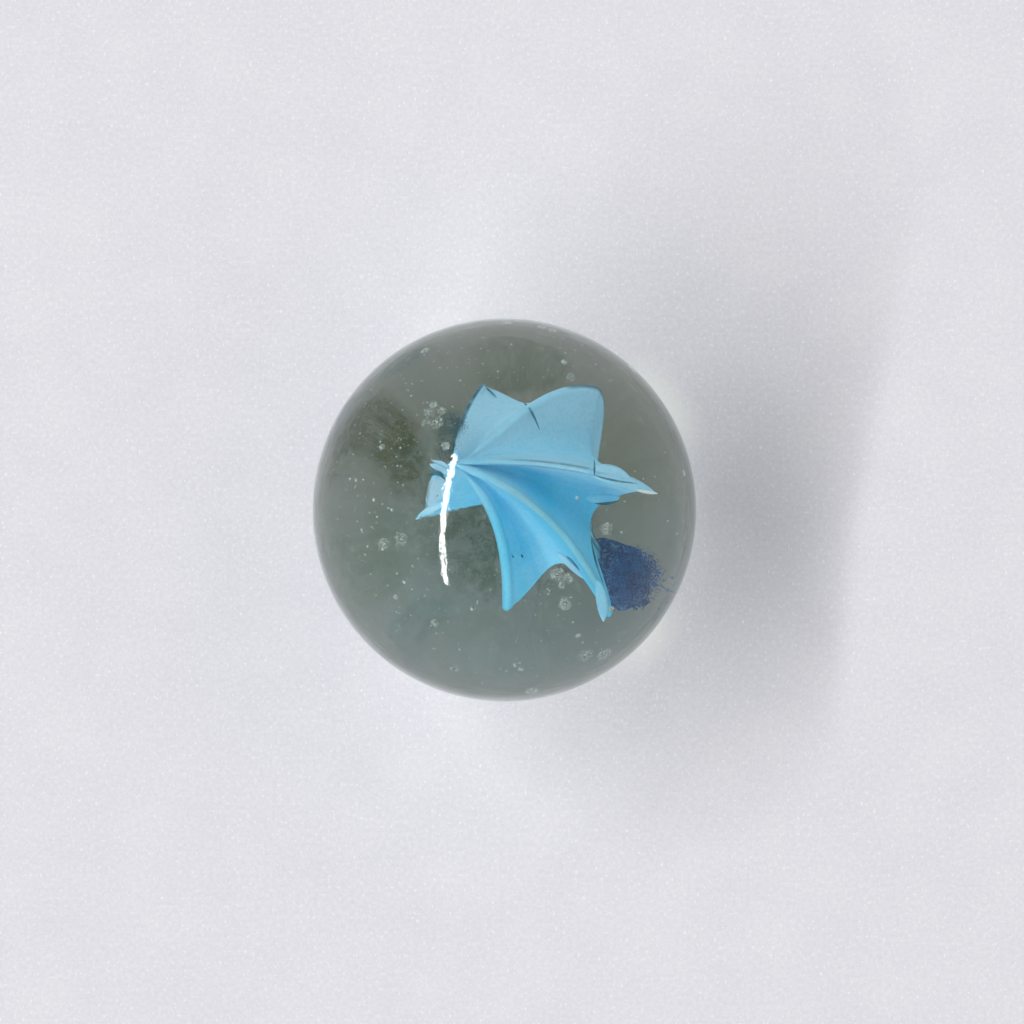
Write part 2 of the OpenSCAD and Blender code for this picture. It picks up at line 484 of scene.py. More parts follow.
# A blade's thickness as a share of its width, the power by which it narrows to its points, how
# dark the painted shade along its thin edges is, and how far a slit lies over the vanes.
BLADE_FLATNESS = 0.25
BLADE_POINT = 0.35
BLADE_OUTLINE = 0.4
BLADE_LIFT = 0.06
BLADE_ROWS = 24
BLADE_COLUMNS = 12
# Place along the axis whose shades the blades take, and how far it changes along a blade.
BLADE_STATION = 0.3
BLADE_STATION_RUN = 0.1
# Distance within which a point of a surface is on a line of sight, and the slack past the
# nearest point where none is so near.
ON_SIGHT = 0.1
SIGHT_SLACK = 0.03


def depth_on(surface, x, y):
    """Depth just before the line of sight meets a surface that is given by its points."""
    entry, ray = sight_line(x, y)
    depth = (surface - entry) @ ray
    away = np.linalg.norm(surface - entry - depth[:, None] * ray, axis=1)
    near = away < max(ON_SIGHT, away.min() + SIGHT_SLACK)
    return depth[near].min() - BLADE_LIFT


def blade(surface, start, bend, end, half_width, depth):
    """A flat ellipse carried along a parabola, from a point at its start to one at its end.

    It is the unit sphere with its height turned into the way along the curve, and drawn in
    towards its poles. Its width lies across the line of sight, and its thickness is a share of
    its width.
    """
    skin, faces = round_skin(BLADE_ROWS, BLADE_COLUMNS)
    corners = np.array([start, bend, end], float)
    depths = [depth or depth_on(surface, x, y) for x, y in corners]
    p, q, r = sight(corners[:, 0], corners[:, 1], np.array(depths))
    q = 2 * q - (p + r) / 2
    t = (1 - skin[:, 2:]) / 2
    spine = (1 - t) ** 2 * p + 2 * t * (1 - t) * q + t * t * r
    ahead = unit((1 - t) * (q - p) + t * (r - q))
    look = sight_line(*corners[1])[1]
    side = unit(np.cross(ahead, look))
    rise = np.cross(side, ahead)
    width = half_width * BALL_R / BALL_OUTLINE_R
    offset = skin[:, :1] * side + BLADE_FLATNESS * skin[:, 1:2] * rise
    offset = offset * (4 * t * (1 - t)) ** BLADE_POINT
    return spine + width * offset, faces, skin


def make_blades(material, surface):
    """All the blades as one piece, dark all over or with painted shade along their thin edges."""
    shells, tints, runs = [], [], []
    for start, bend, end, half_width, pale, depth in BLADES.values():
        points, faces, skin = blade(surface, start, bend, end, half_width, depth)
        shells.append((points, faces))
        # Painted shade: dark all over, or along the thin edges.
        dark = np.ones(len(skin)) if pale == DARK else BLADE_OUTLINE * np.abs(skin[:, 0]) ** 6
        flat = np.zeros(len(skin))
        tints.append(np.stack([flat + max(pale, 0), flat, dark], -1))
        station = BLADE_STATION + BLADE_STATION_RUN * skin[:, 2]
        runs.append(np.stack([skin[:, 0], flat, station], -1))
    points, faces = joined(*shells)
    tint, run = np.concatenate(tints), np.concatenate(runs)
    return mesh_piece("vane_blades", points, faces, material, tint=tint, run=run, crest=0 * run)


# Clouds of coloured grains in the glass; the teal ones beside the horn and the pole are painted
# shade. How many, their middle and spread in the picture, the depth there (or ON_VANES, the
# knot's) and its spread, their largest radius, and their colour.
COBALT = (0.045, 0.18, 0.42)
PALE_COBALT = (0.20, 0.30, 0.46)
# Painted shade: dark teal where the vanes' thin webs lie in shade beside the horn and pole.
SHADE_TEAL = (0.04, 0.16, 0.21)
HAZE_BLUE = (0.08, 0.13, 0.30)
GRAINS = {
    "knot": (4200, (632, 573), (12.5, 12.5), ON_VANES, 0.35, 0.024, COBALT),
    "knot_low": (600, (624, 600), (13, 6), ON_VANES, 0.3, 0.022, COBALT),
    "knot_haze": (1800, (635, 575), (14.5, 14.5), ON_VANES, 0.25, 0.012, COBALT),
    "knot_fleck": (260, (630, 574), (14, 12), ON_VANES, 0.1, 0.02, PALE_COBALT),
    "horn_side_shade": (1600, (459, 430), (5, 10), 5.2, 0.3, 0.013, SHADE_TEAL),
    "pole_side_shade": (900, (449, 450), (7, 6), 4.0, 0.3, 0.013, SHADE_TEAL),
    "west_streak": (260, (335, 476), (8, 1.4), 0.7, 0.1, 0.018, HAZE_BLUE),
}
# Least radius of a grain, the spreads past which a cloud has none, and the place in the picture
# whose line of sight gives the knot's depth.
GRAIN_LEAST = 0.006
GRAIN_REACH = 2.1
KNOT_LINE = (628, 573)


def make_grains(material, surface):
    """Octahedra thrown round each cloud's middle on a bell curve, none in its outer tails."""
    knot_depth = depth_on(surface, *KNOT_LINE)
    dice = np.random.default_rng(7)
    centres, radii, colours = [], [], []
    for count, middle, spread, depth, depth_spread, largest, shade in GRAINS.values():
        throw = dice.normal(size=(count, 3))
        throw = throw[np.linalg.norm(throw[:, :2], axis=1) < GRAIN_REACH]
        x, y = (throw[:, :2] * spread + middle).T
        centres.append(sight(x, y, (depth or knot_depth) + depth_spread * throw[:, 2]))
        radii.append(dice.uniform(GRAIN_LEAST, largest, len(throw)))
        colours.append(np.tile(shade, (len(throw), 1)))
    centres, radii, colours = (np.concatenate(part) for part in (centres, radii, colours))
    points, faces = many_skins(*GRAIN_GRID, centres, radii)
    colours = np.repeat(colours, len(points) // len(centres), 0)
    return mesh_piece("grains", points, faces, material, tint=colours)


# ---------------------------------------------------------------- bubbles

# Bubbles in the glass: place in the picture, radius there, and depth in millimetres.
BUBBLES = (
    (429, 413, 5, 1.6), (437, 422, 6, 1.7), (426, 423, 3.5, 1.5), (441, 411, 3.5, 1.5),
    (434, 405, 3, 1.6), (384, 544, 6.5, 1.6), (401, 539, 7, 1.7), (606, 529, 6, 1.8),
    (621, 533, 1.8, 1.6), (557, 574, 6, 2.0), (568, 578, 5, 2.0), (562, 585, 3, 1.9),
    (586, 655.5, 4.5, 1.6), (604, 654, 3.5, 1.4), (565, 604, 6, 2.1), (611.3, 608.8, 2, 1.8),
    (445.5, 446, 4, 1.9), (382, 447, 2.5, 1.2), (400, 448, 1.5, 1.4), (571, 377, 3, 1.7),
    (564, 362, 1.8, 1.5), (425, 350.5, 1.8, 0.9), (407.5, 390.5, 1.2, 1.0), (374, 500, 2, 1.2),
    (388, 508, 1.5, 1.3), (392, 510, 1.8, 1.4), (326, 519, 1.5, 0.3), (396, 597, 2, 1.1),
    (404, 582, 2, 1.3), (413, 566, 1.5, 1.4), (473, 608, 2.2, 1.9), (435, 623, 3, 1.2),
    (578, 636, 1.8, 1.6), (454, 669, 1.8, 0.9), (532, 691, 2, 0.6), (516, 665, 1.4, 1.2),
    (521, 669, 1.6, 1.2), (507.5, 322.5, 2, 0.3), (542, 327, 2, 0.3), (552.5, 330, 2, 0.3),
    (632.5, 369, 2.2, 0.4), (684, 473, 2.5, 0.3), (677, 534, 1.5, 0.4), (577, 498, 1.8, 2.2),
    (437, 496, 1.4, 2.2), (350, 479, 1.6, 0.5), (356, 480.5, 2.0, 0.6), (363, 480, 1.4, 0.7),
)

# Seeds, the smallest bubbles, drawn as white specks whose white is partly painted glint: how
# many, the share of the outline's area that they keep to, how much more often they lie on the
# left, their radii, the power that makes small ones common, their depths, and how far their
# lines of sight pass the vanes by.
SEED_COUNT = 1500
SEED_AREA = 0.94
SEED_LEAN = 0.9
SEED_RADIUS = (0.010, 0.05)
SEED_POWER = 2.5
SEED_DEPTH = (0.3, 2.2)
SEED_CLEARANCE = 0.12

# Most that a bubble's radius may be, as a share of the glass over its middle.
BUBBLE_LIMIT = 0.8
# Radius from which a bubble is an open hollow in a shell of white specks of painted glint, the
# hollow's, a small bubble's white speck's and the shell's share of the bubble's radius, and
# the shell's count, radii and stray.
LARGE_BUBBLE = 0.085
HOLLOW_SHARE = 0.35
SMALL_SHARE = 0.9
GLINT_SHELL_SHARE = 0.8
GLINT_SHELL_COUNT = 200
GLINT_SHELL_RADIUS = (0.010, 0.032)
GLINT_SHELL_STRAY = 0.22
# Rows and columns in the skin of a hollow, a small bubble, a speck and a grain.
HOLLOW_GRID = (12, 20)
SMALL_GRID = (6, 10)
SPECK_GRID = (3, 5)
GRAIN_GRID = (2, 4)


def bubble_places():
    """Middle and radius of each bubble, its radius held to what the glass over it leaves."""
    x, y, radius, depth = np.array(BUBBLES).T
    centres = sight(x, y, depth)
    radii = np.linalg.norm(sight(x, y + radius, depth) - centres, axis=1)
    return centres, np.minimum(radii, BUBBLE_LIMIT * (BALL_R - np.linalg.norm(centres, axis=1)))


def hollow_shells():
    """Hollows of the large bubbles: spheres with their faces turned inwards."""
    centres, radii = bubble_places()
    large = radii > LARGE_BUBBLE
    points, faces = many_skins(*HOLLOW_GRID, centres[large], HOLLOW_SHARE * radii[large])
    return points, [face[::-1] for face in faces]


def spiral_ball(count):
    """Directions spread evenly over a sphere: equal steps in height and the golden angle round."""
    k = np.arange(count) + 0.5
    height = 1 - 2 * k / count
    turn = np.pi * (3 - np.sqrt(5)) * k
    flat = np.sqrt(1 - height**2)
    return np.stack([flat * np.cos(turn), flat * np.sin(turn), height], -1)


def clear_of(surface, x, y):
    """Whether the line of sight through a picture point passes a surface's points by."""
    entry, ray = sight_line(x, y)
    offset = surface - entry
    away = np.linalg.norm(offset - (offset @ ray)[:, None] * ray, axis=1)
    return away.min() > SEED_CLEARANCE


def glint_shell_specks(dice, centres, radii):
    """Middles and radii of the specks of painted glint round each large bubble: evenly round each,
    and then strayed.
    """
    stray = dice.normal(size=(len(centres), GLINT_SHELL_COUNT, 3)) * GLINT_SHELL_STRAY
    away = (spiral_ball(GLINT_SHELL_COUNT) + stray) * GLINT_SHELL_SHARE * radii[:, None, None]
    specks = (centres[:, None] + away).reshape(-1, 3)
    return specks, dice.uniform(*GLINT_SHELL_RADIUS, len(specks))


def loose_seeds(dice, surface):
    """Middles and radii of the loose seeds.

    They are thrown evenly over the ball's outline, more of them on the left, and none before
    the vanes. Twice as many are thrown as are wanted, because some are turned down.
    """
    throws = 2 * SEED_COUNT
    away = np.sqrt(dice.uniform(0, SEED_AREA, throws))
    angle = dice.uniform(0, 2 * np.pi, throws)
    kept = dice.uniform(0, 1 + SEED_LEAN, throws) < 1 - SEED_LEAN * away * np.cos(angle)
    away, angle = away[kept][:SEED_COUNT], angle[kept][:SEED_COUNT]
    x = BALL_X + BALL_OUTLINE_R * away * np.cos(angle)
    y = BALL_Y + BALL_OUTLINE_R * away * np.sin(angle)
    open_view = np.array([clear_of(surface[::3], *place) for place in zip(x, y)])
    x, y, away = x[open_view], y[open_view], away[open_view]
    centres = sight(x, y, dice.uniform(*SEED_DEPTH, len(x)) * np.sqrt(1 - away**2))
    radii = SEED_RADIUS[0] + np.ptp(SEED_RADIUS) * dice.uniform(0, 1, len(x)) ** SEED_POWER
    return centres, radii


def make_seeds(material, surface):
    """White specks, partly painted glints of the bubbles: a shell of them over each large bubble,
    one in each small, and loose seeds.
    """
    dice = np.random.default_rng(11)
    centres, radii = bubble_places()
    large = radii > LARGE_BUBBLE
    glint_shell, glint_shell_radii = glint_shell_specks(dice, centres[large], radii[large])
    loose, loose_radii = loose_seeds(dice, surface)
    small = (centres[~large], SMALL_SHARE * radii[~large])
    specks = (np.concatenate([glint_shell, loose]), np.concatenate([glint_shell_radii, loose_radii]))
    points, faces = joined(many_skins(*SMALL_GRID, *small), many_skins(*SPECK_GRID, *specks))
    return mesh_piece("seeds", points, faces, material)


# ---------------------------------------------------------------- materials


class Nodes:
    """Short calls for the nodes of one material. Each takes and gives sockets or plain values."""

    def __init__(self, tree):
        self.tree = tree

    def put(self, socket, value):
        """Set a socket to a value, or link another socket to it."""
        if isinstance(value, bpy.types.NodeSocket):
            self.tree.links.new(value, socket)
        elif value is not None:
            socket.default_value = value

    def place(self):
        """Object coordinates in millimetres."""
        here = self.tree.nodes.new("ShaderNodeTexCoord").outputs["Object"]
        return self.vector("SCALE", here, scale=1 / MM)

    def layer(self, name):
        """The three numbers of one of the mesh's layers, as a vector."""
        node = self.tree.nodes.new("ShaderNodeAttribute")
        node.attribute_name = name
        return node.outputs["Vector"]

    def split(self, vector):
        """The three parts of a vector."""
        node = self.tree.nodes.new("ShaderNodeSeparateXYZ")
        self.put(node.inputs[0], vector)
        return tuple(node.outputs)

    def combined(self, value):
        """A vector of three equal parts."""
        node = self.tree.nodes.new("ShaderNodeCombineXYZ")
        for socket in node.inputs:
            self.put(socket, value)
        return node.outputs[0]

    def vector(self, operation, a, b=None, scale=None):
        """A sum of vectors, or of a vector and a scale. A length is a plain number."""
        node = self.tree.nodes.new("ShaderNodeVectorMath")
        node.operation = operation
        self.put(node.inputs[0], a)
        self.put(node.inputs[1], b)
        if scale is not None:
            node.inputs["Scale"].default_value = scale
        return node.outputs["Value" if operation == "LENGTH" else "Vector"]

    def math(self, operation, a, b=None, c=None):
        """A sum of numbers."""
        node = self.tree.nodes.new("ShaderNodeMath")
        node.operation = operation
        for socket, value in zip(node.inputs, (a, b, c)):
            self.put(socket, value)
        return node.outputs[0]

    def ramp(self, value, low, high, to_low=0.0, to_high=1.0):
        """A smooth step from to_low to to_high as the value goes from low to high."""
        node = self.tree.nodes.new("ShaderNodeMapRange")
        node.interpolation_type = "SMOOTHSTEP"
        for socket, number in zip(node.inputs, (value, low, high, to_low, to_high)):
            self.put(socket, number)
        return node.outputs[0]

    def noise(self, place, scale, detail=3.0, rough=0.5, warp=0.0):
        """Soft noise, about 0.5 on average. Scale is in waves to a millimetre."""
        node = self.tree.nodes.new("ShaderNodeTexNoise")
        self.put(node.inputs["Vector"], place)
        node.inputs["Scale"].default_value = scale
        node.inputs["Detail"].default_value = detail
        node.inputs["Roughness"].default_value = rough
        node.inputs["Distortion"].default_value = warp
        return node.outputs[0]

    def stir(self, place, scale, distance):
        """The place, moved about by soft noise, up to half the distance each way."""
        node = self.tree.nodes.new("ShaderNodeTexNoise")
        self.put(node.inputs["Vector"], place)
        node.inputs["Scale"].default_value = scale
        moved = self.vector("SUBTRACT", node.outputs["Color"], (0.5, 0.5, 0.5))
        return self.vector("ADD", place, self.vector("SCALE", moved, scale=distance))

    def relief(self, shader, height, distance):
        """Roughen the shader's surface by a height from 0 to 1 times a distance in millimetres."""
        node = self.tree.nodes.new("ShaderNodeBump")
        self.put(node.inputs["Height"], height)
        node.inputs["Distance"].default_value = distance * MM
        self.tree.links.new(node.outputs["Normal"], shader.inputs["Normal"])

    def mix(self, share, a, b, blend_type="MIX"):
        """Colour a, mixed with colour b by the share."""
        node = self.tree.nodes.new("ShaderNodeMix")
        node.data_type = "RGBA"
        node.blend_type = blend_type
        self.put(node.inputs[0], share)
        self.put(node.inputs[6], a)
        self.put(node.inputs[7], b)
        return node.outputs[2]

    def blot(self, place, centre, size, soft):
        """1 inside a stretched ball round the centre, fading to 0 over the soft share of it."""
        away = self.vector("SUBTRACT", place, centre)
        away = self.vector("DIVIDE", away, size)
        return self.ramp(self.vector("LENGTH", away), 1 - soft, 1 + soft, 1.0, 0.0)


def new_material(name):
    """A material, the short calls for its nodes, and its Principled shader."""
    material = bpy.data.materials.new(name)
    material.use_nodes = True
    tree = material.node_tree
    return material, Nodes(tree), tree.nodes["Principled BSDF"]


def dull(shader, roughness):
    """Give a shader a roughness and no shine."""
    shader.inputs["Roughness"].default_value = roughness
    shader.inputs["Specular IOR Level"].default_value = 0.0


def colour(red, green, blue):
    """An opaque linear colour."""
    return (red, green, blue, 1.0)


BLACK = colour(0.0, 0.0, 0.0)
WHITE = colour(1.0, 1.0, 1.0)


# Patches low on the ball, as they show in the picture: partly olive and teal tints of the
# glass and partly painted shade and light over the shadowed sheet seen through it. Middle,
# half width and half height there, and the colour that the light through them takes.
STAINS_AND_SHADE = {
    "olive_west": ((401, 450), (22, 40), colour(0.34, 0.38, 0.20)),
    "olive_core": ((402, 438), (12, 20), colour(0.60, 0.67, 0.47)),
    "pole_shade": ((452, 436), (14, 22), colour(0.26, 0.48, 0.50)),
    "moss_west": ((388, 552), (22, 50), colour(0.74, 0.82, 0.72)),
    "shade_middle": ((476, 545), (24, 34), colour(0.78, 0.83, 0.80)),
    "moss_north": ((526, 379), (54, 15), colour(0.58, 0.68, 0.58)),
    "south_light": ((509, 640), (54, 42), colour(1.06, 1.10, 1.10)),
    "slate_south_west": ((428, 613), (24, 22), colour(0.72, 0.84, 0.86)),
    "olive_east": ((648, 455), (38, 47), colour(0.94, 0.93, 0.84)),
}


def shaded_and_stained(nodes, place, skin):
    """A colour multiplied by each patch's colour where that patch lies on the ball's underside.

    The patches are partly tints of the glass and partly painted shade and light. Each is
    mottled, and reaches less far where the mottling is thin.
    """
    mottle = nodes.noise(nodes.stir(place, 4.0, 0.1), 7.0, detail=4.0, rough=0.8)
    mottle = nodes.ramp(mottle, 0.36, 0.64, 0.5, 1.25)
    place = nodes.stir(nodes.stir(place, 3.0, 0.2), 9.0, 0.08)
    for (x, y), (half_x, half_y), stain_and_shade in STAINS_AND_SHADE.values():
        centre = under(x, y)
        size = np.abs(under([x + half_x, x], [y, y + half_y]) - centre)
        size = (size[0, 0], size[1, 1], BALL_R)
        blot = nodes.math("MULTIPLY", nodes.blot(place, tuple(centre), size, 0.4), mottle)
        skin = nodes.mix(blot, skin, nodes.mix(1.0, skin, stain_and_shade, "MULTIPLY"))
    return skin


# Painted shade of the shadowed sheet under the ball, with the glass's olive tint: the
# underside's colour in each quarter, darker on the right, and half the width over which they
# blend.
SOUTH_WEST = colour(0.73, 0.825, 0.72)
SOUTH_EAST = colour(0.355, 0.44, 0.405)
NORTH_WEST = colour(0.65, 0.635, 0.51)
NORTH_EAST = colour(0.40, 0.41, 0.335)
QUARTER_BLEND = 2.0
# Pale and dark mottling of that painted shade and tint, the distances from the ball's upright
# axis between which the mottling fades, and the heights over the lowest point between which
# all of it does.
MOTTLE_PALE = colour(1.1, 1.1, 1.14)
MOTTLE_DARK = colour(0.5, 0.58, 0.48)
MOTTLE_FADE = (1.1, 1.7)
SHADE_AND_TINT_TOP = (0.3, 0.6)
# The tint of the glass itself, and its density to a metre.
GLASS_TINT = colour(0.27, 0.46, 0.34)
GLASS_DENSITY = 18
# The lightly scuffed part of the top: its middle, half size and height.
SCUFF = (-2.3, -0.7, 7.6)
SCUFF_SIZE = (0.9, 3.6, 1.5)
SCUFF_HEIGHT = 0.0026


def underside_shade_and_tint(nodes, place, x, y):
    """Painted shade and tint of the ball's underside: its quarters blended, then patched, its
    middle mottled.
    """
    west_east = nodes.ramp(x, -QUARTER_BLEND, QUARTER_BLEND)
    south_north = nodes.ramp(y, -QUARTER_BLEND, QUARTER_BLEND)
    south = nodes.mix(west_east, SOUTH_WEST, SOUTH_EAST)
    north = nodes.mix(west_east, NORTH_WEST, NORTH_EAST)
    low = shaded_and_stained(nodes, place, nodes.mix(south_north, south, north))
    cloud = nodes.noise(nodes.stir(place, 2.0, 0.4), 4.5, detail=6.0, rough=0.8)
    patchy = nodes.mix(nodes.ramp(cloud, 0.6, 0.4), MOTTLE_PALE, MOTTLE_DARK)
    away = nodes.vector("LENGTH", nodes.vector("MULTIPLY", place, (1, 1, 0)))
    fade = nodes.ramp(away, *MOTTLE_FADE, 1, 0)
    return nodes.mix(fade, low, nodes.mix(1.0, low, patchy, "MULTIPLY"))


def glass_material():
    """Clear grey-green glass: polished, with olive and teal tints and painted shade underneath."""
    material, nodes, shader = new_material("clear_glass")
    place = nodes.place()
    x, y, z = nodes.split(place)
    low, high = (-BALL_R + height for height in SHADE_AND_TINT_TOP)
    # Painted shade and tint on the underside, and white above it.
    skin = nodes.mix(nodes.ramp(z, low, high), underside_shade_and_tint(nodes, place, x, y), WHITE)
    nodes.put(shader.inputs["Base Color"], skin)
    shader.inputs["Roughness"].default_value = 0.0
    shader.inputs["IOR"].default_value = GLASS_IOR
    shader.inputs["Transmission Weight"].default_value = 1.0
    scuff = nodes.blot(place, SCUFF, SCUFF_SIZE, 0.5)
    height = nodes.math("MULTIPLY", scuff, nodes.noise(place, 8.0, detail=1.0))
    nodes.relief(shader, height, SCUFF_HEIGHT)
    tree = material.node_tree
    body = tree.nodes.new("ShaderNodeVolumeAbsorption")
    body.inputs["Color"].default_value = GLASS_TINT
    body.inputs["Density"].default_value = GLASS_DENSITY
    tree.links.new(body.outputs["Volume"], tree.nodes["Material Output"].inputs["Volume"])
    return material


DEEP_BLUE = colour(0.125, 0.68, 1.0)
PALE_BLUE = colour(0.40, 0.77, 0.98)
LILAC_WHITE = colour(0.86, 0.97, 1.0)
EDGE_SHADE_TEAL = colour(0.03, 0.14, 0.20)
RIDGE_GREEN = colour(0.28, 0.58, 0.68)
LOBE_CREST_SHADE = colour(0.24, 0.65, 0.88)
KNOT_BLUE = colour(0.02, 0.08, 0.19)
KNOT_FLECK = colour(0.10, 0.23, 0.40)
# The fin's pale patch: its middle in the picture, its depth, half size and paleness.
FIN_PLACE = (434, 491)
FIN_DEPTH = 5.6
FIN_SIZE = (0.36, 0.85, 1.6)
FIN_PALENESS = 0.45
# How green the tail's ridge is, how much painted shade darkens the lobe's crest against the
# light it catches, and the height of the streaks.
RIDGE_SHARE = 0.5
CREST_SHADE_SHARE = 0.35
STREAK_HEIGHT = 0.006


def vane_blue(nodes, place, pale, s, patterns):
    """Blue by paleness: deep, then pale, then lilac white. The patterns vary the paleness.

    It is paler near the pole, where s is 0, as painted light against the shade between the
    vanes there, and on the fin's patch.
    """
    pale = nodes.math("MULTIPLY", pale, nodes.ramp(s, 0.0, 0.14, 0.6, 1.0))
    # Painted light: the paleness is raised near the pole, against the shade in the crevices there.
    pale = nodes.math("MAXIMUM", pale, nodes.ramp(s, 0.12, 0.42, 0.34, 0.0))
    for pattern in patterns:
        pale = nodes.math("ADD", pale, nodes.math("MULTIPLY_ADD", pattern, 0.24, -0.12))
    blue = nodes.mix(nodes.ramp(pale, 0.0, 0.6), DEEP_BLUE, PALE_BLUE)
    blue = nodes.mix(nodes.ramp(pale, 0.6, 1.0), blue, LILAC_WHITE)
    patch = nodes.blot(place, tuple(sight(*FIN_PLACE, FIN_DEPTH)), FIN_SIZE, 0.3)
    return nodes.mix(nodes.math("MULTIPLY", patch, FIN_PALENESS), blue, LILAC_WHITE)


def edge_shade(nodes, edge, s, cloud, crest_shade):
    """Darkness of the teal line of painted shade: uneven, and none near the pole or on the lobe's
    shaded crest.
    """
    edge = nodes.math("MULTIPLY", edge, nodes.ramp(cloud, 0.3, 0.6, 0.6, 1.0))
    edge = nodes.math("MULTIPLY", edge, nodes.ramp(crest_shade, 0.05, 0.4, 1.0, 0.0))
    return nodes.math("MULTIPLY", edge, nodes.ramp(s, 0.08, 0.22))


def vane_material():
    """Opaque blue glass: pale on some vanes, deep in the webs, cobalt at the knot; the paleness is
    partly painted light.

    Fine streaks run along the vanes, a dark teal line of painted shade follows their thin edges,
    and painted shade darkens the lobe's crest.
    """
    material, nodes, shader = new_material("blue_vanes")
    place = nodes.place()
    pale, knot, edge = nodes.split(nodes.layer("tint"))
    run = nodes.layer("run")
    tail_crest, lobe_crest, _ = nodes.split(nodes.layer("crest"))
    s = nodes.split(run)[2]
    streak = nodes.noise(nodes.vector("MULTIPLY", run, (14, 14, 3)), 1.0, detail=3.0, rough=0.6)
    cloud = nodes.noise(place, 1.6, detail=4.0, rough=0.6)
    speck = nodes.noise(place, 9.0, detail=2.0, rough=0.7)
    blue = vane_blue(nodes, place, pale, s, (streak, cloud))
    middle = nodes.math("MULTIPLY", nodes.ramp(s, 0.06, 0.16), nodes.ramp(s, 0.5, 0.6, 1.0, 0.0))
    green = nodes.math("MULTIPLY", nodes.math("MULTIPLY", tail_crest, middle), RIDGE_SHARE)
    blue = nodes.mix(green, blue, RIDGE_GREEN)
    shade = nodes.mix(nodes.ramp(speck, 0.3, 0.7, 0.93, 1.05), BLACK, WHITE)
    blue = nodes.mix(1.0, blue, shade, "MULTIPLY")
    # Painted shade on the lobe's crest near the pole, against the light it catches.
    crest_shade = nodes.math("MULTIPLY", lobe_crest, nodes.ramp(s, 0.42, 0.5, 1.0, 0.0))
    blue = nodes.mix(nodes.math("MULTIPLY", crest_shade, CREST_SHADE_SHARE), blue, LOBE_CREST_SHADE)
    # Painted shade: the dark teal line along the thin edges.
    blue = nodes.mix(edge_shade(nodes, edge, s, cloud, crest_shade), blue, EDGE_SHADE_TEAL)
    curl = nodes.noise(nodes.stir(place, 3.0, 0.6), 4.0, detail=4.0, rough=0.7, warp=1.5)
    cobalt = nodes.mix(nodes.ramp(curl, 0.47, 0.62), KNOT_BLUE, KNOT_FLECK)
    ragged = nodes.math("ADD", knot, nodes.math("MULTIPLY_ADD", cloud, 0.6, -0.3))
    blue = nodes.mix(nodes.ramp(ragged, 0.35, 0.65), blue, cobalt)
    nodes.put(shader.inputs["Base Color"], blue)
    dull(shader, 0.6)
    nodes.relief(shader, streak, STREAK_HEIGHT)
    return material


# White and grey of the specks: unmelted sand, and painted glints of the bubbles.
SEED_WHITE = colour(0.72, 0.83, 0.78)
SEED_GREY = colour(0.34, 0.42, 0.39)


def seed_material():
    """Dull white specks: unmelted sand, and painted glints where the bubbles catch the light."""
    material, nodes, shader = new_material("white_seeds")
    cloud = nodes.ramp(nodes.noise(nodes.place(), 6.0, detail=2.0), 0.35, 0.65)
    nodes.put(shader.inputs["Base Color"], nodes.mix(cloud, SEED_GREY, SEED_WHITE))
    dull(shader, 0.5)
    return material


def grain_material():
    """Dull coloured grains, each in its cloud's own colour, lighter and darker by turns."""
    material, nodes, shader = new_material("coloured_grains")
    cloud = nodes.ramp(nodes.noise(nodes.place(), 5.0, detail=2.0), 0.3, 0.7, 0.6, 1.3)
    tint = nodes.vector("MULTIPLY", nodes.layer("tint"), nodes.combined(cloud))
    nodes.put(shader.inputs["Base Color"], tint)
    dull(shader, 0.7)
    return material


# The sheet's two shades, and how bright its sparkle is.
PAPER_GREY = colour(0.72, 0.715, 0.77)
PAPER_WHITE = colour(0.865, 0.855, 0.895)
SPARKLE_SHARE = 0.7
# Where the ball gathers light on the sheet beside it: places on its outline, clockwise from
# its right in degrees, the half size in millimetres, the colour and its share.
GLOWS = (-40, -32, -25, 38, 46)
GLOW_SIZE = 1.1
GLOW = colour(1.0, 1.0, 0.95)
GLOW_SHARE = 0.5


def floor_material():
    """Matt white sheet with a fine grain, paler where the ball gathers light on it."""
    material, nodes, shader = new_material("floor")
    dull(shader, 0.9)
    place = nodes.place()
    grain = nodes.ramp(nodes.noise(place, 5.0, detail=3.0, rough=0.7), 0.25, 0.75)
    cloud = nodes.noise(place, 0.35)
    shade = nodes.math("MULTIPLY_ADD", grain, 0.5, nodes.math("MULTIPLY", cloud, 0.5))
    paper = nodes.mix(shade, PAPER_GREY, PAPER_WHITE)
    sparkle = nodes.noise(nodes.vector("MULTIPLY", place, (9.0, 6.0, 1.0)), 1.0, detail=1.0)
    paper = nodes.mix(nodes.ramp(sparkle, 0.58, 0.8, 0.0, SPARKLE_SHARE), paper, WHITE)
    for angle in GLOWS:
        centre = (BALL_R * cos_d(angle), -BALL_R * sin_d(angle), -BALL_R)
        glow = nodes.blot(place, centre, (GLOW_SIZE, GLOW_SIZE, 1), 0.9)
        paper = nodes.mix(nodes.math("MULTIPLY", glow, GLOW_SHARE), paper, GLOW)
    nodes.put(shader.inputs["Base Color"], paper)
    return material


# ---------------------------------------------------------------- the pieces

BALL_ROWS = 128
BALL_COLUMNS = 256


def make_ball():
    """The polished ball as one mesh with the hollows of its bubbles."""
    points, faces = round_skin(BALL_ROWS, BALL_COLUMNS)
    skins = joined((points * BALL_R, faces), hollow_shells())
    return mesh_piece("glass_ball", *skins, glass_material())


ball = make_ball()
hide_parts("clear_glass")
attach(ball, "root")

blue_glass = vane_material()
vanes, vane_points = make_vanes(blue_glass)
blades = make_blades(blue_glass, vane_points)
grains = make_grains(grain_material(), vane_points)
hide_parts("blue_vanes")
for piece in (vanes, blades, grains):
    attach(piece, "root")

seeds = make_seeds(seed_material(), vane_points)
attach(seeds, "root")

# ---------------------------------------------------------------- floor, light and camera

